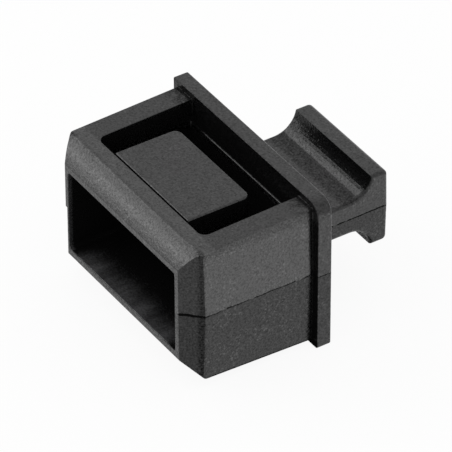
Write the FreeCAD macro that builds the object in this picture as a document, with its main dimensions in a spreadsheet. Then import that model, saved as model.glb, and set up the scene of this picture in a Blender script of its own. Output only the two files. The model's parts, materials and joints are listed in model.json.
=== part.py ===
import FreeCAD, Part
import math
import os
import Sketcher
import PartDesign
from FreeCAD import Vector

# A dust plug for the port of a small pluggable transceiver.  It is one soft
# moulded piece: a hollow body that enters the port, a flange that stops
# against the face of the port, and a pull tab behind the flange.
#
# The origin is the middle of the flange's front face.  X runs across the
# plug, Y runs out of the port towards the tab, and Z is up.  The mould parts
# on the plane Z = 0, and every outer wall leans in away from that plane.

os.makedirs("parts", exist_ok=True)
doc = FreeCAD.newDocument("DustPlug")

# ---------------------------------------------------------------- sizes, mm
SIZES = [
    # body that enters the port
    ("bodyLength", "8.2", "mouth to the front of the flange"),
    ("backHalfWidth", "6.94", "at the flange, on the parting plane"),
    ("backTop", "4.5", "parting plane up to the roof, at the flange"),
    ("backFoot", "4.66", "parting plane down to the foot, at the flange"),
    ("mouthHalfWidth", "6.88", "at the mouth, before the lead-in"),
    ("mouthTop", "4.25", "at the mouth, before the lead-in"),
    ("mouthFoot", "4.41", "at the mouth, before the lead-in"),
    ("sideDraft", "0.09", "how far each side leans in at top and foot"),
    # lead-in: slopes on all four sides of the mouth
    ("topLeadFace", "1.27", "upper slope, measured on the mouth"),
    ("topLeadRun", "0.88", "upper slope, measured along the body"),
    ("footLeadFace", "1.17", "lower slope, measured on the mouth"),
    ("footLeadRun", "1.1", "lower slope, measured along the body"),
    ("rightLeadFace", "1.05", "slope on +X, measured on the mouth"),
    ("leftLeadFace", "0.97", "slope on -X, in the upper mould half"),
    ("leftLeadStep", "0.16", "what the lower mould half takes off more"),
    ("sideLeadRun", "1.1", "side slopes, measured along the body"),
    ("topLeadRound", "0.6", "upper slope into the roof"),
    ("footLeadRound", "0.35", "lower slope into the foot"),
    # flange that stops against the port
    ("flangeHalfWidth", "7.36", "half of the flange's width"),
    ("flangeTop", "4.9", "parting plane up to the flange's top"),
    ("flangeFoot", "5.04", "parting plane down to the flange's foot"),
    ("flangeThick", "0.97", "front face to rear face"),
    ("flangeLeftRound", "0.12", "upper corner on the -X side"),
    ("flangeRightRound", "0.95", "upper corner on the +X side"),
    ("flangeFootRound", "0.12", "lower corners"),
    ("flangeRimRound", "0.12", "rear rim"),
    # cavity
    ("cavityRight", "5.47", "middle to the +X wall, at the mouth"),
    ("cavityLeft", "5.6", "middle to the -X wall, at the mouth"),
    ("cavityTop", "2.58", "above the parting plane, at the mouth"),
    ("cavityFloor", "2.8", "below the parting plane, at the mouth"),
    ("cavityRound", "0.25", "the cavity's long corners"),
    ("cavityTaper", "0.3", "draft of the core, in degrees"),
    ("endSkin", "0.1", "the cavity stops this short of the flange"),
    # window in the roof, and the tongue that it leaves
    ("windowHalfWidth", "5.41", "half of the window's width"),
    ("windowFront", "1.89", "mouth to the window's front edge"),
    ("windowRound", "0.5", "the window's front corners"),
    ("windowFloor", "2.95", "height of the ledge at the window's back"),
    ("tongueHalfWidth", "3.76", "half of the tongue's width"),
    ("tongueBack", "6.19", "mouth to the tongue's free edge"),
    ("tongueRound", "0.5", "the tongue's free corners"),
    ("tongueTop", "4.29", "height of the tongue's upper face"),
    ("tongueEdgeRound", "0.12", "edges of the tongue's upper face"),
    ("hingeWidth", "0.12", "groove that lets the tongue bend"),
    ("hingeFloor", "3.6", "height of the groove's floor"),
    # pull tab
    ("tabHalfWidth", "3.9", "half of the tab's width"),
    ("tabEnd", "7.13", "front of the flange to the end of the tab"),
    ("tabEndDraft", "0.05", "how far the end leans in at top and foot"),
    ("webHalfThick", "1.1", "half of the part that the fingers pinch"),
    ("lipTop", "2.4", "parting plane up to the lip's top"),
    ("lipFoot", "2.47", "parting plane down to the lip's foot"),
    ("lipTopFront", "5.95", "front of the lip, above the web"),
    ("lipFootFront", "6.0", "front of the lip, below the web"),
    ("lipLean", "0.25", "how much thicker the lip is at the web"),
    ("fingerRound", "1.45", "hollow between the web and the lip"),
    ("tabEndRound", "0.3", "the lip's rear edges along X"),
    ("tabSideRound", "0.25", "the tab's edges at both sides"),
    ("gateTop", "0.55", "parting plane down to the trimmed gate"),
    ("gateHeight", "0.35", "trimmed gate, along Z"),
    ("gateWidth", "0.3", "trimmed gate, along X"),
    ("gateDepth", "0.1", "trimmed gate, cut into the tab's end"),
]
sheet = doc.addObject("Spreadsheet::Sheet", "Dims")
sheet.Label = "Dims"
for row, (alias, value, note) in enumerate(SIZES, start=1):
    sheet.set("A%d" % row, alias)
    sheet.set("B%d" % row, value)
    sheet.set("C%d" % row, note)
    sheet.setAlias("B%d" % row, alias)
doc.recompute()

V = {}
for alias, value, note in SIZES:
    V[alias] = float(value)

body = doc.addObject("PartDesign::Body", "dust_plug")
body.Label = "dust_plug"
doc.recompute()


# ------------------------------------------------------------------ helpers
def plane(role):
    """One of the body's own reference planes: XY, XZ or YZ."""
    for feature in body.Origin.OriginFeatures:
        if feature.Role == role + "_Plane":
            return feature
    raise RuntimeError("no plane " + role)


def new_sketch(name, role, offset=None):
    """A sketch on a reference plane, moved along the plane's normal."""
    sketch = body.newObject("Sketcher::SketchObject", name)
    sketch.Label = name
    sketch.AttachmentSupport = [(plane(role), "")]
    sketch.MapMode = "FlatFace"
    if offset:
        sketch.setExpression("AttachmentOffset.Base.z", offset)
    return sketch


def number(size):
    """Work out a chain of sheet names, such as -Dims.a + Dims.b * Dims.c."""
    total = 0.0
    term = 0.0
    operator = "+"
    for word in size.split():
        if word in ("+", "-", "*", "/"):
            operator = word
            continue
        sign = 1.0
        if word.startswith("-"):
            sign = -1.0
            word = word[1:]
        if word.startswith("Dims."):
            value = sign * V[word[5:]]
        else:
            value = sign * float(word)
        if operator == "*":
            term = term * value
        elif operator == "/":
            term = term / value
        else:
            total = total + term
            term = value if operator == "+" else -value
    return total + term


def pin(sketch, geometry, point, axis, size):
    """Hold a point at a signed distance from one axis of the sketch."""
    value = number(size)
    if abs(value) < 1e-9:
        axis_line = -2 if axis == "X" else -1
        sketch.addConstraint(Sketcher.Constraint(
            "PointOnObject", geometry, point, axis_line))
        return
    index = sketch.addConstraint(Sketcher.Constraint(
        "Distance" + axis, -1, 1, geometry, point, value))
    sketch.setExpression("Constraints[%d]" % index, size)


def outline(sketch, corners):
    """Draw a closed outline of straight lines with optional round corners.

    Each corner is (x size, y size, round size or None), in order.  A round
    corner keeps its sharp corner as a pinned construction point, and the
    lines on both sides of it stay aimed at that point.
    """
    count = len(corners)
    at = []
    for x_size, y_size, round_size in corners:
        at.append(Vector(number(x_size), number(y_size), 0))
    starts = []
    ends = []
    arcs = []
    for i in range(count):
        into = at[i] - at[i - 1]
        into.normalize()
        out = at[(i + 1) % count] - at[i]
        out.normalize()
        round_size = corners[i][2]
        if round_size is None:
            ends.append(at[i])
            starts.append(at[i])
            arcs.append(None)
            continue
        radius = number(round_size)
        turn = into.x * out.y - into.y * out.x
        half = math.acos(max(-1.0, min(1.0, -into.dot(out)))) / 2.0
        reach = radius / math.tan(half)
        first = at[i] - into * reach
        last = at[i] + out * reach
        side = Vector(-into.y, into.x, 0)
        if turn < 0:
            side = side * -1.0
        centre = first + side * radius
        ends.append(first)
        starts.append(last)
        a = math.atan2(first.y - centre.y, first.x - centre.x)
        b = math.atan2(last.y - centre.y, last.x - centre.x)
        if turn < 0:
            a, b = b, a
        circle = Part.Circle(centre, Vector(0, 0, 1), radius)
        arcs.append((Part.ArcOfCircle(circle, a, b), turn > 0))
    lines = []
    for i in range(count):
        lines.append(sketch.addGeometry(
            Part.LineSegment(starts[i], ends[(i + 1) % count])))
    for i in range(count):
        x_size, y_size, round_size = corners[i]
        line_in = lines[i - 1]
        line_out = lines[i]
        if round_size is None:
            sketch.addConstraint(Sketcher.Constraint(
                "Coincident", line_in, 2, line_out, 1))
            pin(sketch, line_out, 1, "X", x_size)
            pin(sketch, line_out, 1, "Y", y_size)
            continue
        curve, left_turn = arcs[i]
        arc = sketch.addGeometry(curve)
        point = sketch.addGeometry(Part.Point(at[i]), True)
        pin(sketch, point, 1, "X", x_size)
        pin(sketch, point, 1, "Y", y_size)
        sketch.addConstraint(Sketcher.Constraint(
            "PointOnObject", point, 1, line_in))
        sketch.addConstraint(Sketcher.Constraint(
            "PointOnObject", point, 1, line_out))
        near = 1 if left_turn else 2
        sketch.addConstraint(Sketcher.Constraint(
            "Tangent", line_in, 2, arc, near))
        sketch.addConstraint(Sketcher.Constraint(
            "Tangent", line_out, 1, arc, 3 - near))
        index = sketch.addConstraint(Sketcher.Constraint(
            "Radius", arc, number(round_size)))
        sketch.setExpression("Constraints[%d]" % index, round_size)


def step(label):
    """Recompute, and print how much material the body now holds."""
    doc.recompute()
    amount = body.Shape.Volume
    print("%-16s %9.3f mm3" % (label, amount))
    return amount


def straight_edges(choose):
    """Names of the body's edges whose bounding box passes a test."""
    names = []
    for index, edge in enumerate(body.Shape.Edges, start=1):
        if choose(edge.BoundBox):
            names.append("Edge%d" % index)
    if not names:
        raise RuntimeError("no edge was chosen")
    return names


def fillet(name, base, edges, size):
    made = body.newObject("PartDesign::Fillet", name)
    made.Label = name
    made.Base = (base, edges)
    made.setExpression("Radius", size)
    step(name)
    return made


def pocket(name, sketch, length, upwards=False, both_ways=False):
    """Cut a sketch out of the body, and insist that something went."""
    doc.recompute()
    amount = body.Shape.Volume
    made = body.newObject("PartDesign::Pocket", name)
    made.Label = name
    made.Profile = sketch
    made.Reversed = upwards
    if both_ways:
        made.SideType = "Symmetric"
    made.setExpression("Length", length)
    if step(name) >= amount - 1e-6:
        raise RuntimeError(name + " removed nothing")
    return made


# ------------------------------------------- body, leaning in from Z = 0
def body_section(name, offset, half_width, top, foot):
    """Six-sided section that is widest on the parting plane.

    The sides lean by the same angle in every section, so each one is flat.
    """
    sketch = new_sketch(name, "XZ", offset)
    top_lean = "Dims.sideDraft * " + top + " / Dims.backTop"
    foot_lean = "Dims.sideDraft * " + foot + " / Dims.backFoot"
    outline(sketch, [
        (half_width, "0", None),
        (half_width + " - " + top_lean, top, None),
        ("-" + half_width + " + " + top_lean, top, None),
        ("-" + half_width, "0", None),
        ("-" + half_width + " + " + foot_lean, "-" + foot, None),
        (half_width + " - " + foot_lean, "-" + foot, None),
    ])
    return sketch


at_flange = body_section(
    "SectionAtFlange", None,
    "Dims.backHalfWidth", "Dims.backTop", "Dims.backFoot")
at_mouth = body_section(
    "SectionAtMouth", "Dims.bodyLength",
    "Dims.mouthHalfWidth", "Dims.mouthTop", "Dims.mouthFoot")
doc.recompute()

hull = body.newObject("PartDesign::AdditiveLoft", "PortBody")
hull.Label = "PortBody"
hull.Profile = at_flange
hull.Sections = [at_mouth]
hull.Ruled = True
hull.Closed = False
step("PortBody")

# ------------------------- lead-in: one flat slope on each side of the mouth
WHOLE_WIDTH = "2 * Dims.flangeHalfWidth"
WHOLE_HEIGHT = "2 * Dims.flangeFoot"
MOUTH_Y = "-Dims.bodyLength"

lead_top = new_sketch("LeadInTop", "YZ")
outline(lead_top, [
    (MOUTH_Y, "Dims.mouthTop - Dims.topLeadFace", None),
    (MOUTH_Y + " + Dims.topLeadRun + Dims.topLeadRun",
     "Dims.mouthTop + Dims.topLeadFace", None),
    (MOUTH_Y, "Dims.mouthTop + Dims.topLeadFace", None),
])
pocket("UpperSlope", lead_top, WHOLE_WIDTH, both_ways=True)

lead_foot = new_sketch("LeadInFoot", "YZ")
outline(lead_foot, [
    (MOUTH_Y, "-Dims.mouthFoot + Dims.footLeadFace", None),
    (MOUTH_Y, "-Dims.mouthFoot - Dims.footLeadFace", None),
    (MOUTH_Y + " + Dims.footLeadRun + Dims.footLeadRun",
     "-Dims.mouthFoot - Dims.footLeadFace", None),
])
pocket("LowerSlope", lead_foot, WHOLE_WIDTH, both_ways=True)

lead_right = new_sketch("LeadInRight", "XY")
outline(lead_right, [
    ("Dims.mouthHalfWidth - Dims.rightLeadFace", MOUTH_Y, None),
    ("Dims.mouthHalfWidth + Dims.rightLeadFace", MOUTH_Y, None),
    ("Dims.mouthHalfWidth + Dims.rightLeadFace",
     MOUTH_Y + " + Dims.sideLeadRun + Dims.sideLeadRun", None),
])
pocket("RightSlope", lead_right, WHOLE_HEIGHT, both_ways=True)


def left_slope(name, face):
    """The slope on the -X side, for one of the two mould halves."""
    sketch = new_sketch(name, "XY")
    outline(sketch, [
        ("-Dims.mouthHalfWidth + " + face, MOUTH_Y, None),
        ("-Dims.mouthHalfWidth - " + face,
         MOUTH_Y + " + Dims.sideLeadRun + Dims.sideLeadRun", None),
        ("-Dims.mouthHalfWidth - " + face, MOUTH_Y, None),
    ])
    return sketch


upper_half = left_slope("LeadInLeftUpper", "Dims.leftLeadFace")
pocket("LeftSlopeUpper", upper_half, "Dims.flangeTop", upwards=True)
lower_half = left_slope(
    "LeadInLeftLower", "Dims.leftLeadFace + Dims.leftLeadStep")
slopes = pocket("LeftSlopeLower", lower_half, "Dims.flangeFoot")


def slope_end(above):
    """The edge between the roof, or the foot, and its slope."""
    behind_mouth = -V["bodyLength"] + 1e-3
    return straight_edges(
        lambda box: box.XLength > V["mouthHalfWidth"]
        and box.YLength < 1e-6
        and behind_mouth < box.YMin and box.YMax < -1e-3
        and (box.ZMin > 0) == above)


slopes = fillet(
    "UpperSlopeRound", slopes, slope_end(True), "Dims.topLeadRound")
fillet("LowerSlopeRound", slopes, slope_end(False), "Dims.footLeadRound")

# --------------------------------------------- flange, square at the foot
flange_outline = new_sketch("FlangeOutline", "XZ")
outline(flange_outline, [
    ("Dims.flangeHalfWidth", "-Dims.flangeFoot", "Dims.flangeFootRound"),
    ("Dims.flangeHalfWidth", "Dims.flangeTop", "Dims.flangeRightRound"),
    ("-Dims.flangeHalfWidth", "Dims.flangeTop", "Dims.flangeLeftRound"),
    ("-Dims.flangeHalfWidth", "-Dims.flangeFoot", "Dims.flangeFootRound"),
])
doc.recompute()
flange = body.newObject("PartDesign::Pad", "Flange")
flange.Label = "Flange"
flange.Profile = flange_outline
flange.setExpression("Length", "Dims.flangeThick")
flange.Reversed = True
step("Flange")

rear_edges = straight_edges(
    lambda box: box.YLength < 1e-6
    and abs(box.YMax - V["flangeThick"]) < 1e-6)
fillet("FlangeRim", flange, rear_edges, "Dims.flangeRimRound")

# ------------------------------------------------------- tab behind it
tab_profile = new_sketch("TabProfile", "YZ")
ROOT = "Dims.flangeThick - Dims.flangeRimRound"
outline(tab_profile, [
    (ROOT, "-Dims.webHalfThick", None),
    ("Dims.lipFootFront - Dims.lipLean", "-Dims.webHalfThick",
     "Dims.fingerRound"),
    ("Dims.lipFootFront", "-Dims.lipFoot", None),
    ("Dims.tabEnd - Dims.tabEndDraft", "-Dims.lipFoot",
     "Dims.tabEndRound"),
    ("Dims.tabEnd", "0", None),
    ("Dims.tabEnd - Dims.tabEndDraft", "Dims.lipTop",
     "Dims.tabEndRound"),
    ("Dims.lipTopFront", "Dims.lipTop", None),
    ("Dims.lipTopFront - Dims.lipLean", "Dims.webHalfThick",
     "Dims.fingerRound"),
    (ROOT, "Dims.webHalfThick", None),
])
doc.recompute()
tab = body.newObject("PartDesign::Pad", "PullTab")
tab.Label = "PullTab"
tab.Profile = tab_profile
tab.SideType = "Symmetric"
tab.setExpression("Length", "2 * Dims.tabHalfWidth")
step("PullTab")

tab_sides = straight_edges(
    lambda box: box.XLength < 1e-6
    and abs(abs(box.XMin) - V["tabHalfWidth"]) < 1e-6
    and box.YMax > V["flangeThick"] + 1e-6)
fillet("TabSides", tab, tab_sides, "Dims.tabSideRound")

gate_mark = new_sketch("GateOutline", "YZ", "Dims.tabHalfWidth")
GATE_FOOT = "-Dims.gateTop - Dims.gateHeight"
outline(gate_mark, [
    ("Dims.tabEnd - Dims.gateDepth", GATE_FOOT, None),
    ("Dims.tabEnd + Dims.gateDepth", GATE_FOOT, None),
    ("Dims.tabEnd + Dims.gateDepth", "-Dims.gateTop", None),
    ("Dims.tabEnd - Dims.gateDepth", "-Dims.gateTop", None),
])
pocket("TrimmedGate", gate_mark, "Dims.gateWidth")

# ------------------------------------------- cavity, open at the mouth
core = new_sketch("CoreOutline", "XZ", "Dims.bodyLength")
outline(core, [
    ("Dims.cavityRight", "-Dims.cavityFloor", "Dims.cavityRound"),
    ("Dims.cavityRight", "Dims.cavityTop", "Dims.cavityRound"),
    ("-Dims.cavityLeft", "Dims.cavityTop", "Dims.cavityRound"),
    ("-Dims.cavityLeft", "-Dims.cavityFloor", "Dims.cavityRound"),
])
cavity = pocket("Cavity", core, "Dims.bodyLength - Dims.endSkin")
cavity.setExpression("TaperAngle", "-Dims.cavityTaper")
step("cavity draft")

# ---------------------- window in the roof, round three sides of a tongue
FRONT_Y = "-Dims.bodyLength + Dims.windowFront"
FREE_Y = "-Dims.bodyLength + Dims.tongueBack"


def window_outline(name, offset, back):
    """The U that lies round the tongue, open towards the tongue's root."""
    sketch = new_sketch(name, "XY", offset)
    outline(sketch, [
        ("-Dims.windowHalfWidth", FRONT_Y, "Dims.windowRound"),
        ("-Dims.tongueHalfWidth", FRONT_Y, None),
        ("-Dims.tongueHalfWidth", FREE_Y, "Dims.tongueRound"),
        ("Dims.tongueHalfWidth", FREE_Y, "Dims.tongueRound"),
        ("Dims.tongueHalfWidth", FRONT_Y, None),
        ("Dims.windowHalfWidth", FRONT_Y, "Dims.windowRound"),
        ("Dims.windowHalfWidth", back, None),
        ("-Dims.windowHalfWidth", back, None),
    ])
    return sketch


upper = window_outline("WindowOutline", "Dims.windowFloor", "0")
pocket("Window", upper, "Dims.flangeTop - Dims.windowFloor", upwards=True)
lower = window_outline("SlotOutline", None, "-Dims.endSkin")
pocket("WindowIntoCavity", lower, "Dims.windowFloor", upwards=True)


def tongue_outline(name, offset, back):
    """A strip across the tongue, from its root back to one line."""
    sketch = new_sketch(name, "XY", offset)
    outline(sketch, [
        ("-Dims.tongueHalfWidth", FRONT_Y, None),
        ("Dims.tongueHalfWidth", FRONT_Y, None),
        ("Dims.tongueHalfWidth", back, None),
        ("-Dims.tongueHalfWidth", back, None),
    ])
    return sketch


trim = tongue_outline("TongueFace", "Dims.tongueTop", FREE_Y)
pocket("TongueLevel", trim, "Dims.flangeTop - Dims.tongueTop", upwards=True)
hinge = tongue_outline(
    "HingeOutline", "Dims.hingeFloor", FRONT_Y + " + Dims.hingeWidth")
groove = pocket(
    "HingeGroove", hinge, "Dims.flangeTop - Dims.hingeFloor", upwards=True)

around_tongue = straight_edges(
    lambda box: box.ZLength < 1e-6
    and abs(box.ZMin - V["tongueTop"]) < 1e-6)
soft = fillet("TongueEdges", groove, around_tongue, "Dims.tongueEdgeRound")

# ------------------------------------------------------ checks and export
body.Tip = soft
doc.recompute()
for item in doc.Objects:
    if "Invalid" in item.State or "Error" in item.State:
        raise RuntimeError("%s did not rebuild: %s" % (item.Label, item.State))

for piece in [body]:
    shape = piece.Shape
    if shape.isNull() or not shape.isValid():
        raise RuntimeError(piece.Label + " has no valid shape")
    if len(shape.Solids) != 1:
        raise RuntimeError(piece.Label + " is not one solid")
    box = shape.BoundBox
    print("%s: %.2f x %.2f x %.2f mm, %.2f mm3, %d faces" % (
        piece.Label, box.XLength, box.YLength, box.ZLength,
        shape.Volume, len(shape.Faces)))
    shape.exportStep("parts/" + piece.Label + ".step")
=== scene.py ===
# %% [markdown]
# # A transceiver dust plug
#
# The plug is one soft moulding: a hollow body that goes into the port, a flange that stops
# against the port's face, and a pull tab.  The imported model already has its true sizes, so
# nothing here makes it larger or smaller.  This notebook gives it what a mould and a black
# compound give the real one: slightly blunt edges, a slope over the mouth that is a little
# full, a parting line, and a fine dull grain.

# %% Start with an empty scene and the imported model
import json
import math

import bmesh
import bpy
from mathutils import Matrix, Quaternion, Vector

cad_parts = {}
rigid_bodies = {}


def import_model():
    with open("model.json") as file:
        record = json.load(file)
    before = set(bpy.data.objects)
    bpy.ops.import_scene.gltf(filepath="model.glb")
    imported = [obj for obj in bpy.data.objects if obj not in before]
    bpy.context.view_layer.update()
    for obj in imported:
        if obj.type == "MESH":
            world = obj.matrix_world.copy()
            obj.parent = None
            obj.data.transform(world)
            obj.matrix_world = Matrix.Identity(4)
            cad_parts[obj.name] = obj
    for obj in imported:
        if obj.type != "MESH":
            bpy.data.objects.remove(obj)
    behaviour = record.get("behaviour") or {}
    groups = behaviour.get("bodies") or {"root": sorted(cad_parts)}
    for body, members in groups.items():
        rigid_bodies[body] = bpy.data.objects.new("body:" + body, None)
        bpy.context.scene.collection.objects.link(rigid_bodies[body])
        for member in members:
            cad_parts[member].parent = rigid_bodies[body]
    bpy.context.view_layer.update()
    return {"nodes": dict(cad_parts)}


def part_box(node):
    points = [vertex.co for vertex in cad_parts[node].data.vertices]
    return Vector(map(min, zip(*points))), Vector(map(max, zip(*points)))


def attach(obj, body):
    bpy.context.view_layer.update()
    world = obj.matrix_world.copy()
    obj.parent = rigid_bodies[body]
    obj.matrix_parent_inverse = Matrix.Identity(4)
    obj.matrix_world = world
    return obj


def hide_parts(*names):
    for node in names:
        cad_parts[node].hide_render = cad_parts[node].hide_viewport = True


for leftover in list(bpy.data.objects):
    bpy.data.objects.remove(leftover, do_unlink=True)

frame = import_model()
MM = 0.001
low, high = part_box("dust_plug")
centre = (Vector(low) + Vector(high)) / 2
print("plug, mm:", [round((b - a) / MM, 2) for a, b in zip(low, high)])

# %% [markdown]
# ## The camera
#
# A small part is usually shown from far away with a long lens, so that parallel edges stay
# almost parallel.  A point to aim at, three angles and one distance place the camera, and a
# lens length sets how much of the picture the plug fills.  Writing the angles down is
# clearer than typing a rotation, because each one can be checked against the plug: the
# azimuth turns round the upright axis, and the elevation looks down on the roof.

# %% Camera
AZIMUTH = math.radians(56.974)
ELEVATION = math.radians(37.426)
ROLL = math.radians(-0.164)
AIM = Vector((0.04, -1.28, -0.51)) * MM
CAMERA_DISTANCE = 0.2962
LENS = 419.13
SENSOR = 36.0
NEAREST = 0.01
FARTHEST = 10.0


def towards(azimuth, elevation):
    """Unit vector from the plug to something seen at these two angles."""
    return Vector((
        math.sin(azimuth) * math.cos(elevation),
        -math.cos(azimuth) * math.cos(elevation),
        math.sin(elevation),
    ))


back = towards(AZIMUTH, ELEVATION)
lens = bpy.data.cameras.new("camera")
lens.lens = LENS
lens.sensor_width = SENSOR
lens.clip_start = NEAREST
lens.clip_end = FARTHEST
camera = bpy.data.objects.new("camera", lens)
bpy.context.collection.objects.link(camera)
camera.location = AIM + back * CAMERA_DISTANCE
camera.rotation_mode = "QUATERNION"
upright = (-back).to_track_quat("-Z", "Y")
camera.rotation_quaternion = Quaternion(back, ROLL) @ upright
bpy.context.scene.camera = camera
print("camera, mm:", [round(v / MM, 3) for v in camera.location])

# %% [markdown]
# ## The moulded surface
#
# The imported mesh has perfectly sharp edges, and no moulding has those: the steel is never
# quite sharp and the compound shrinks back from it.  The edge could be faked in the shader,
# but then the outline would stay razor sharp and the exported mesh would too.  So the mesh
# is copied, its loose triangles are merged into one skin, flat areas are joined into single
# faces, and the edges get narrow bevels.

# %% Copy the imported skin
WELD = 0.0001 * MM
FLAT = math.radians(0.3)

packed = frame["nodes"]["dust_plug"]
skin = bmesh.new()
skin.from_mesh(packed.data)
bmesh.ops.remove_doubles(skin, verts=skin.verts, dist=WELD)
bmesh.ops.dissolve_limit(
    skin, angle_limit=FLAT, verts=skin.verts, edges=skin.edges)
print("skin:", len(skin.verts), "points,", len(skin.faces), "faces")

# %% [markdown]
# The slope over the mouth isn't quite flat on the real plug.  The compound is thick there and
# stays a little full, so the slope bulges by less than a tenth of a millimetre, most of all a
# little past its middle.  A few cuts along the slope give it points to move, and they are
# moved by a smooth curve that is zero at the roof and at the mouth.

# %% Find the slope over the mouth
ROOF_END = Vector((0, -7.006, 4.28)) * MM
MOUTH_EDGE = Vector((0, -8.2, 2.98)) * MM
UPWARD = 0.2
SLIGHT = 0.02
run = MOUTH_EDGE - ROOF_END
down_slope = run.normalized()
out_of_slope = Vector((0, down_slope.z, -down_slope.y))


def on_slope(normal, middle):
    """Whether a face belongs to the slope over the mouth or to the round above it."""
    looks_up = normal.z > UPWARD
    looks_ahead = normal.y < -SLIGHT and abs(normal.x) < SLIGHT
    return middle.y < ROOF_END.y and looks_up and looks_ahead


def slope_faces():
    """The skin's faces on that slope."""
    return [face for face in skin.faces
            if on_slope(face.normal, face.calc_center_median())]


print("slope:", len(slope_faces()), "faces,", round(run.length / MM, 2), "mm long")

# %% Cut the slope and crown it
CROWN = 0.07 * MM
CUTS = (0.44, 0.55, 0.66, 0.77, 0.88)
FULLNESS = 2.7
FULLER_TO_THE_ROOF = 9.6

for part_way in CUTS:
    slope = slope_faces()
    edges = {edge for face in slope for edge in face.edges}
    points = {point for face in slope for point in face.verts}
    bmesh.ops.bisect_plane(
        skin, geom=slope + list(edges) + list(points), dist=WELD,
        plane_co=ROOF_END + run * part_way, plane_no=down_slope)

slope = slope_faces()
for point in {point for face in slope for point in face.verts}:
    down = (point.co - ROOF_END).dot(down_slope) / run.length
    left = 1.0 - down
    if 0.0 < down < 1.0:
        fullness = down * down * left * (FULLNESS + FULLER_TO_THE_ROOF * left)
        point.co += out_of_slope * CROWN * fullness
skin.normal_update()
print("crowned slope:", len(slope), "faces")

# %% [markdown]
# A bevel needs room.  Where a sharp edge runs into a round corner, the neighbouring edges
# can be shorter than the bevel is wide, and the bevel would fold over them.  Such an edge is
# left as sharp as it is.  So are the upright edges of the lead-in and the edges at the far
# end of the tab, where two parts of the mould's steel meet.

# %% Find the sharp edges and blunt them
SHARP = math.radians(25)
EDGE_BLUNT = 0.045 * MM
ROOM = 1.5 * EDGE_BLUNT
LEAD_IN = -6.9 * MM
BODY_SIDE = 6.7 * MM
TAB_END = 5.8 * MM


def has_room(edge, others):
    """Whether a bevel on this edge has room at both of its ends."""
    for point in edge.verts:
        for side in point.link_edges:
            if side not in others and side.calc_length() < ROOM:
                return False
    return True


def stays_sharp(edge):
    """Whether two parts of the mould's steel meet at this edge."""
    first, last = (point.co for point in edge.verts)
    on_side = min(abs(first.x), abs(last.x)) > BODY_SIDE
    in_front = max(first.y, last.y) < LEAD_IN
    return (on_side and in_front) or max(first.y, last.y) > TAB_END


sharp = set()
for edge in skin.edges:
    if edge.is_manifold and edge.calc_face_angle() > SHARP:
        if not stays_sharp(edge):
            sharp.add(edge)
roomy = [edge for edge in sharp if has_room(edge, sharp)]
bmesh.ops.bevel(
    skin, geom=roomy, offset=EDGE_BLUNT, offset_type="OFFSET",
    segments=2, profile=0.5, affect="EDGES",
    clamp_overlap=False, material=-1, loop_slide=True)
print("blunt:", len(roomy), "of", len(sharp), "edges")

# %% [markdown]
# The finished skin becomes an object of its own.  It could be put in the imported solid's
# place, but that solid is what the physics knows, so it stays as it is and is only hidden.
# The skin rides on the plug's one body and takes the rubber material that is made below.

# %% Make the plug's piece
plug_mesh = bpy.data.meshes.new("plug_skin")
skin.to_mesh(plug_mesh)
skin.free()
plug = bpy.data.objects.new("plug_skin", plug_mesh)
bpy.context.collection.objects.link(plug)
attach(plug, "root")
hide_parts("dust_plug")
print("plug_skin:", len(plug_mesh.polygons), "faces")

# %% [markdown]
# Smooth shading bends the light across every edge, also across the long flat walls, where
# it would leave streaks.  So each corner of the mesh is told which way it faces.  On a flat
# wall that is the wall's own direction.  On a bevel or a fillet it is the mean of the faces
# that meet there, where a large one counts for more.  The crowned slope is smoothed too, but
# only into faces that hardly turn, so that its lower edge stays crisp.

# %% Keep the flat walls flat
WALL = 0.9 * MM * MM
SMOOTH = math.radians(50)
SLOPE_SMOOTH = math.radians(14)

meeting = {}
for face in plug_mesh.polygons:
    face.use_smooth = True
    for point in face.vertices:
        meeting.setdefault(point, []).append(face)


def corner_direction(face, point):
    """The way that one corner of a face looks."""
    crowned = on_slope(face.normal, face.center)
    if face.area > WALL and not crowned:
        return face.normal.copy()
    limit = SLOPE_SMOOTH if crowned else SMOOTH
    mean = Vector((0, 0, 0))
    for other in meeting[point]:
        if face.normal.angle(other.normal) < limit:
            mean += other.normal * other.area
    return mean.normalized() if mean.length else face.normal.copy()


directions = [corner_direction(face, point)
              for face in plug_mesh.polygons for point in face.vertices]
plug_mesh.normals_split_custom_set(directions)
print("corners:", len(directions))


# %% [markdown]
# ## Shader arithmetic
#
# A shader is a sum of small calculations.  Wired by hand it takes pages, so one small class
# wraps a socket and lets Python's own operators add the Math nodes.  One method adds any
# other node.

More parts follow.
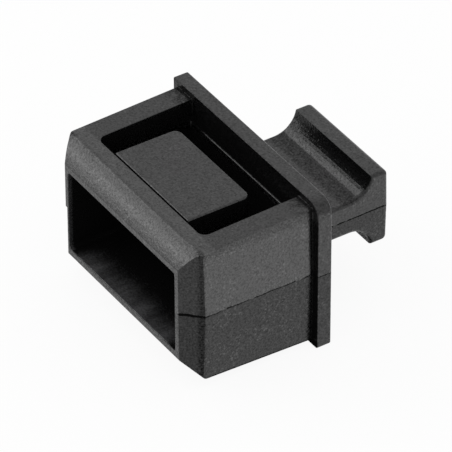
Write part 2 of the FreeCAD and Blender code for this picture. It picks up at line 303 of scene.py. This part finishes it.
# %% Sockets that can be added and multiplied
class Shade:
    """One output of a shader node, used in ordinary arithmetic."""

    def __init__(self, tree, socket):
        self.tree = tree
        self.socket = socket

    def node(self, kind, settings, values, output=0):
        """Add a node of any kind and give back one of its outputs."""
        made = self.tree.nodes.new(kind)
        for name, value in settings.items():
            setattr(made, name, value)
        for name, value in values.items():
            if isinstance(value, Shade):
                self.tree.links.new(value.socket, made.inputs[name])
            else:
                made.inputs[name].default_value = value
        return Shade(self.tree, made.outputs[output])

    def other(self, output):
        """Another output of the same node."""
        return Shade(self.tree, self.socket.node.outputs[output])

    def maths(self, operation, first, second=0.0):
        """A Math node on one or two values."""
        return self.node(
            "ShaderNodeMath", {"operation": operation}, {0: first, 1: second})

    def __add__(self, other):
        return self.maths("ADD", self, other)

    def __radd__(self, other):
        return self.maths("ADD", other, self)

    def __sub__(self, other):
        return self.maths("SUBTRACT", self, other)

    def __rsub__(self, other):
        return self.maths("SUBTRACT", other, self)

    def __mul__(self, other):
        return self.maths("MULTIPLY", self, other)

    def __rmul__(self, other):
        return self.maths("MULTIPLY", other, self)

    def __abs__(self):
        return self.maths("ABSOLUTE", self)

    def under(self, edge, blur):
        """1 where the value is under edge, 0 above it, soft over blur."""
        return self.node(
            "ShaderNodeMapRange",
            {"interpolation_type": "SMOOTHSTEP"},
            {"Value": self, "From Min": edge - blur, "From Max": edge + blur,
             "To Min": 1.0, "To Max": 0.0})

    def over(self, edge, blur):
        """1 where the value is over edge, 0 below it, soft over blur."""
        return 1.0 - self.under(edge, blur)


# %% [markdown]
# A new material comes with nodes of its own.  They are cleared away, so that the tree holds
# only what the cells below put in it.

# %% An empty material
def new_material(name):
    """A material with an empty tree, and the node that ends it."""
    material = bpy.data.materials.new(name)
    material.use_nodes = True
    tree = material.node_tree
    tree.nodes.clear()
    output = tree.nodes.new("ShaderNodeOutputMaterial")
    return material, tree, output


# %% [markdown]
# ## The compound
#
# The plug is moulded in a black compound.  It has almost no colour of its own: what is seen
# is the pale room, reflected weakly by a surface that the mould has left slightly rough.
# The places below are measured in millimetres on the plug itself, so the grain stays on
# the surface however the plug is turned.  Two more values say how far the surface looks to
# a side and to the rear: 1 is straight there, and 0 is square to it.

# %% Places on the plug, in millimetres
CRISP = 0.02
compound, tree, output = new_material("plug_rubber")
start = Shade(tree, tree.nodes.new("ShaderNodeTexCoord").outputs["Object"])
place = start.node(
    "ShaderNodeMapping", {}, {"Vector": start, "Scale": (1 / MM, 1 / MM, 1 / MM)})
across = place.node("ShaderNodeSeparateXYZ", {}, {0: place})
along = across.other("Y")
height = across.other("Z")
outward = start.other("Normal")
turned = outward.node("ShaderNodeSeparateXYZ", {}, {0: outward})
sideways = abs(turned)
to_the_rear = turned.other("Y")


def noise(scale, detail, rough=0.5):
    """A random pattern with this many grains to the millimetre."""
    return place.node(
        "ShaderNodeTexNoise", {},
        {"Vector": place, "Scale": scale, "Detail": detail, "Roughness": rough},
        "Fac")


print("places:", len(tree.nodes), "nodes")

# %% [markdown]
# The grain is the mould's own finish.  It has three sizes: a fine sparkle, small dull
# flecks, and broad cloudy patches where the compound flowed.

# %% Grain, flecks and clouds
sparkle = noise(scale=8.5, detail=2.0, rough=0.7)
fleck = noise(scale=5.5, detail=1.0).over(0.60, blur=0.08)
cloud = noise(scale=0.7, detail=2.0)
print("with the grain:", len(tree.nodes), "nodes")

# %% [markdown]
# The two halves of the mould meet half way up the plug.  They leave a thin, slightly wavy
# line on every outer wall, broken where the halves closed well and wider on the lead-in's
# slanting sides.  The lower half is the rougher one.  Nothing of this is seen inside the
# cavity, which a core forms.

# %% The parting line and the two mould halves
SIDE_WALL = 5.75
FLANGE = 0.0
WANDER = 0.16
LINE = 0.045
WIDER_LINE = 0.04
above_line = height + (noise(scale=0.9, detail=2.0) - 0.5) * WANDER
outside = across.maths(
    "MAXIMUM", abs(across).over(SIDE_WALL, blur=0.05), along.over(FLANGE, blur=CRISP))
closed = noise(scale=1.6, detail=1.0).over(0.40, blur=0.06)
slanting = sideways.over(0.5, blur=0.05) * sideways.under(0.9, blur=0.04) * outside
seam = abs(above_line).under(LINE + WIDER_LINE * slanting, blur=0.03) * outside * closed
lower_half = above_line.under(0.0, blur=CRISP)
print("with the parting line:", len(tree.nodes), "nodes")

# %% [markdown]
# The mould's side walls are polished, so that the plug lets go of them.  Where a wall faces
# sideways it therefore has a thin extra gloss, which a coat over the compound gives.  The
# flange and the tab have less of it than the body, and the lower half has least.  The strip
# of roof in front of the window has a little too, because it rubs on the port, and so do
# scattered glints where the mould's finish has worn smooth.

# %% Polish on the side walls
FRONT_STRIP = -6.35
ROOF = 4.2
TAB_SHARE = 0.4
LOWER_SHARE = 0.15
RUBBED_SHARE = 0.4
GLINT_SHARE = 0.35
POLISHED_GLINT_SHARE = 0.55
polished = sideways.over(0.95, blur=0.04)
body_wall = along.under(FLANGE, blur=CRISP)
upper_share = (1.0 - lower_half) * (TAB_SHARE + (1.0 - TAB_SHARE) * body_wall)
rubbed = along.under(FRONT_STRIP, blur=0.12) * height.over(ROOF, blur=0.03)
glint = noise(scale=6.5, detail=1.0).over(0.62, blur=0.05)
glint = glint * noise(scale=0.6, detail=1.0).over(0.47, blur=0.12)
polish = polished * (upper_share + LOWER_SHARE * lower_half) + RUBBED_SHARE * rubbed
polish = polish + glint * (GLINT_SHARE + POLISHED_GLINT_SHARE * polished)
print("with the polish:", len(tree.nodes), "nodes")

# %% [markdown]
# Some places are darker.  The lead-in's side slopes are darker all over, and a dark band runs
# along the edge where they meet the side walls.  The side walls fade towards the roof, the
# lowest edge of the body is darker, and the faces that look to the rear are coarser.

# %% Darker places on the body
LEAD_IN_EDGE = -7.24
BODY_CORNER = 6.3
SHOULDER = 3.85
FOOT = -4.66
FOOT_LEAN = 0.0305
rearward = to_the_rear.over(0.85, blur=0.1)
edge_band = abs(along - LEAD_IN_EDGE).under(0.15, blur=0.13)
edge_band = edge_band * abs(across).over(BODY_CORNER, blur=0.1)
shoulder = polished * height.over(SHOULDER, blur=0.3) * body_wall
foot_edge = (height - FOOT + FOOT_LEAN * along).under(0.09, blur=0.05) * body_wall
print("with the body's dull places:", len(tree.nodes), "nodes")

# %% [markdown]
# Painted shade goes where little light reaches.  The roof's rear corners by the flange get
# patchy painted shade, and so do the hollow behind the flange, which the lip shades, and the
# steep side of each lip that looks at the flange.  Where the body's walls run into the
# flange, a thin band of painted shade marks the corner, weaker on the roof.

# %% Painted shade in the roof's corners, the finger hollow, the lips and the flange's root
ROOF_REAR = -0.9
ROOF_CORNER = 5.3
ROOF_EDGE = 4.3
LIP = 5.0
HOLLOW_START = 4.05
HOLLOW_END = 5.7
HOLLOW_HEIGHT = 1.22
ROOT_TOP = 3.8
ROOT_ON_ROOF = 0.4
# Painted shade in the roof's rear corners next to the flange, made patchy by noise.
roof_corner_shade = along.over(ROOF_REAR, blur=0.5) * abs(across).over(ROOF_CORNER, blur=0.3)
roof_corner_shade = roof_corner_shade * height.over(ROOF_EDGE, blur=0.05) * body_wall
roof_corner_shade = roof_corner_shade * noise(scale=2.2, detail=2.0).over(0.42, blur=0.12)
# Painted shade on the steep side of each lip that faces the flange.
lip_face_shade = to_the_rear.under(-0.6, blur=0.15) * along.over(LIP, blur=0.1)
# Painted shade in the finger hollow in front of the lip.
hollow_shade = along.over(HOLLOW_START, blur=0.15) * along.under(HOLLOW_END, blur=0.15)
hollow_shade = hollow_shade * abs(height).under(HOLLOW_HEIGHT, blur=0.05)
hollow_shade = hollow_shade * sideways.under(0.7, blur=0.1)
# Painted shade in the corner where the body's walls run into the flange.
flange_root_shade = abs(along - FLANGE).under(0.04, blur=0.03)
root_on_walls = (1.0 - ROOT_ON_ROOF) * height.under(ROOT_TOP, blur=0.4)
flange_root_shade = flange_root_shade * (ROOT_ON_ROOF + root_on_walls)
print("with the scuffs:", len(tree.nodes), "nodes")

# %% [markdown]
# Inside, the cavity is mostly painted shade: little light gets in, so it is mixed with the
# dull black almost all over.  The light that comes in through the mouth only reaches the
# first part of the floor and the front end of the left wall, and painted light makes those
# parts paler, in streaks.

# %% Inside the cavity
CAVITY_ACROSS = -0.065
CAVITY_LEVEL = -0.11
CAVITY_HALF_WIDTH = 5.55
CAVITY_HALF_HEIGHT = 2.71
CAVITY_END = -0.05
JUST_ABOVE_FLOOR = -2.7
PALE_FLOOR_END = -6.9
PALE_HALF_WIDTH = 4.8
LEFT_WALL = -5.3
WALL_FRONT = -7.93
STREAK = (1.1, 0.25, 1.1)
core = abs(across - CAVITY_ACROSS).under(CAVITY_HALF_WIDTH, blur=CRISP)
core = core * abs(height - CAVITY_LEVEL).under(CAVITY_HALF_HEIGHT, blur=CRISP)
core = core * along.under(CAVITY_END, blur=CRISP)
stretched_place = place.node(
    "ShaderNodeVectorMath", {"operation": "MULTIPLY"}, {0: place, 1: STREAK})
streaks = stretched_place.node(
    "ShaderNodeTexNoise", {}, {"Vector": stretched_place, "Scale": 1.0, "Detail": 3.0}, "Fac")
# Painted light where light through the mouth falls on the front of the floor, broken into
# streaks.
lit_mouth_floor = core * height.under(JUST_ABOVE_FLOOR, blur=0.05)
lit_mouth_floor = lit_mouth_floor * along.under(PALE_FLOOR_END, blur=1.2)
lit_mouth_floor = lit_mouth_floor * abs(across).under(PALE_HALF_WIDTH, blur=0.7)
# Painted light on the front end of the left wall.
lit_wall_end = core * across.under(LEFT_WALL, blur=0.1) * along.under(WALL_FRONT, blur=0.12)
painted_inside_light = lit_mouth_floor * (0.2 + 1.6 * streaks) + 0.8 * lit_wall_end
# Painted shade over the rest of the cavity.
cavity_shade = core * (1.0 - painted_inside_light)
print("with the cavity:", len(tree.nodes), "nodes")

# %% [markdown]
# The window's walls stand between the cavity and the roof.  They lie in shade, so painted
# shade darkens them with the dull black, all round the tongue.

# %% The window's walls
WINDOW_MIDDLE = -3.2
WINDOW_HALF_LENGTH = 3.15
WINDOW_HALF_WIDTH = 5.55
WINDOW_FLOOR = 3.05
# Painted shade on the window's walls.
window_wall_shade = abs(across).under(WINDOW_HALF_WIDTH, blur=CRISP)
window_wall_shade = window_wall_shade * abs(along - WINDOW_MIDDLE).under(WINDOW_HALF_LENGTH, blur=CRISP)
window_wall_shade = window_wall_shade * height.over(WINDOW_FLOOR, blur=0.05)
window_wall_shade = window_wall_shade * height.under(ROOF, blur=0.04)
print("with the window:", len(tree.nodes), "nodes")

# %% [markdown]
# The places come together in one shiny compound.  Its colour is nearly black, and it is paler
# only where painted light stands for the light that falls through the mouth into the cavity.
# It is rougher where the grain is, on the lower half and on what looks to the rear.  Its
# relief is about a hundredth of a millimetre deep, which is enough to break up a reflection.

# %% Colour, gloss and relief
BLACK = 0.002
COOL = 1.03
SATIN = 0.12
GRAIN_DEPTH = 0.008 * MM
# The last term is painted light on the cavity's floor and left wall near the mouth.
grey = BLACK + 0.002 * sparkle + 0.004 * fleck + 0.05 * painted_inside_light
tint = grey.node(
    "ShaderNodeCombineColor", {}, {"Red": grey, "Green": grey, "Blue": grey * COOL})
gloss = SATIN + 0.08 * sparkle + 0.05 * cloud + 0.05 * lower_half + 0.2 * rearward
relief = sparkle + 0.5 * fleck - 1.5 * seam
bump = relief.node(
    "ShaderNodeBump", {}, {"Strength": 1.0, "Distance": GRAIN_DEPTH, "Height": relief})
shiny = bump.node("ShaderNodeBsdfPrincipled", {}, {
    "Base Color": tint,
    "Roughness": gloss,
    "Coat Weight": polish,
    "Coat Roughness": 0.2,
    "IOR": 1.5,
    "Specular IOR Level": 0.62,
    "Normal": bump,
})
print("with the shiny compound:", len(tree.nodes), "nodes")

# %% [markdown]
# A groove as thin as the parting line reflects nothing at all.  Darkening the colour would
# not show, since the colour is black already, so the shiny compound is mixed with a dull
# black where there is a groove.  The darker places get a share of it too, the shaded ones as
# painted shade, and the sparkle scatters it over the whole plug.

# %% Mix in the dull black and the painted shade
DULL_AND_SHADE_BLACK = (0.004, 0.004, 0.004, 1)
MEAN_SPARKLE = 0.43
TAB_START = 2.0
dull_and_shaded_places = (
    (0.10, lower_half),
    (0.15, slanting),
    (0.35, edge_band),
    (0.20, shoulder),
    (0.50, foot_edge),
    # From here down the places are painted shade.
    (0.45, roof_corner_shade),
    (0.45, lip_face_shade),
    (0.35, hollow_shade),
    (0.85, flange_root_shade),
    (0.90, cavity_shade),
    (0.75, window_wall_shade),
)
seam_depth = 0.65 + 0.3 * slanting + 0.25 * along.over(TAB_START, blur=0.1)
share = seam * seam_depth + 1.7 * (sparkle - MEAN_SPARKLE)
for amount, darker_place in dull_and_shaded_places:
    share = share + amount * darker_place
dull = share.node("ShaderNodeBsdfDiffuse", {}, {"Color": DULL_AND_SHADE_BLACK})
finish = share.node("ShaderNodeMixShader", {}, {0: share, 1: shiny, 2: dull})
tree.links.new(finish.socket, output.inputs["Surface"])
plug_mesh.materials.clear()
plug_mesh.materials.append(compound)
print("plug_rubber:", len(tree.nodes), "nodes")

# %% [markdown]
# ## The floor
#
# The plug stands on a sheet of white paper.  The paper has to look white without more
# light on the plug, so where the camera or a reflection sees it, most of it glows at the
# strength of plain white.  The rest is ordinary paper, which keeps the plug's soft shadow.

# %% Floor
FLOOR_SIZE = 1.0
PAPER = (0.82, 0.82, 0.82, 1)
WHITE = (1, 1, 1, 1)
GLOW = 0.92
floor_mesh = bpy.data.meshes.new("floor")
sheet = bmesh.new()
bmesh.ops.create_grid(sheet, x_segments=1, y_segments=1, size=FLOOR_SIZE / 2)
bmesh.ops.translate(sheet, verts=sheet.verts, vec=(0, 0, low[2]))
sheet.to_mesh(floor_mesh)
sheet.free()
floor = bpy.data.objects.new("floor", floor_mesh)
bpy.context.collection.objects.link(floor)
print("floor at", round(low[2] / MM, 2), "mm")

# %% White paper that keeps a shadow
paper, tree, output = new_material("white_floor")
rays = Shade(tree, tree.nodes.new("ShaderNodeLightPath").outputs["Is Camera Ray"])
reflected = rays.maths(
    "MAXIMUM", rays.other("Is Glossy Ray"), rays.other("Is Transmission Ray"))
seen = rays.maths("MAXIMUM", rays, reflected)
lit = rays.node("ShaderNodeBsdfDiffuse", {}, {"Color": PAPER})
glow = rays.node("ShaderNodeEmission", {}, {"Color": WHITE, "Strength": 1.0})
blend = rays.node("ShaderNodeMixShader", {}, {0: seen * GLOW, 1: lit, 2: glow})
tree.links.new(blend.socket, output.inputs["Surface"])
floor_mesh.materials.append(paper)
print("white_floor:", len(tree.nodes), "nodes")

# %% [markdown]
# ## The room and its lamps
#
# A black plug shows little but reflections, so the lamps are placed by what each face
# mirrors.  The roof and the side walls mirror the pale room, which is a little dimmer than
# the white that the camera sees behind the plug.

# %% Room
ROOM_LEVEL = 0.96
world = bpy.data.worlds.new("room")
bpy.context.scene.world = world
world.use_nodes = True
tree = world.node_tree
tree.nodes.clear()
output = tree.nodes.new("ShaderNodeOutputWorld")
rays = Shade(tree, tree.nodes.new("ShaderNodeLightPath").outputs["Is Camera Ray"])
level = ROOM_LEVEL + (1.0 - ROOM_LEVEL) * rays
room = rays.node("ShaderNodeBackground", {}, {"Color": WHITE, "Strength": level})
tree.links.new(room.socket, output.inputs["Surface"])
print("room:", len(tree.nodes), "nodes")

# %% [markdown]
# Two soft square lamps hang on the left in front.  The slope over the mouth mirrors the
# large one, and because the slope is crowned, it mirrors the low one near the mouth's edge.
# A point light would only give it a small hot spot.

# %% Lamps
LAMP_DISTANCE = 0.25


def softbox(name, azimuth, elevation, size, brightness):
    """A square lamp that faces the plug; brightness 1 is as bright as white paper."""
    data = bpy.data.lights.new(name, "AREA")
    data.shape = "SQUARE"
    data.size = size
    data.energy = brightness * math.pi * size * size
    lamp = bpy.data.objects.new(name, data)
    bpy.context.collection.objects.link(lamp)
    way = towards(math.radians(azimuth), math.radians(elevation))
    lamp.location = centre + way * LAMP_DISTANCE
    lamp.rotation_mode = "QUATERNION"
    lamp.rotation_quaternion = (-way).to_track_quat("-Z", "Y")
    print(name, "lamp:", round(data.energy, 4), "W")


softbox("key", azimuth=-51, elevation=28, size=0.21, brightness=1.32)
softbox("low_key", azimuth=-45, elevation=0, size=0.15, brightness=0.85)

# %% [markdown]
# ## Finish
#
# The view transform is set to Standard, so that white stays white.

# %% Finish
view = bpy.context.scene.view_settings
view.view_transform = "Standard"
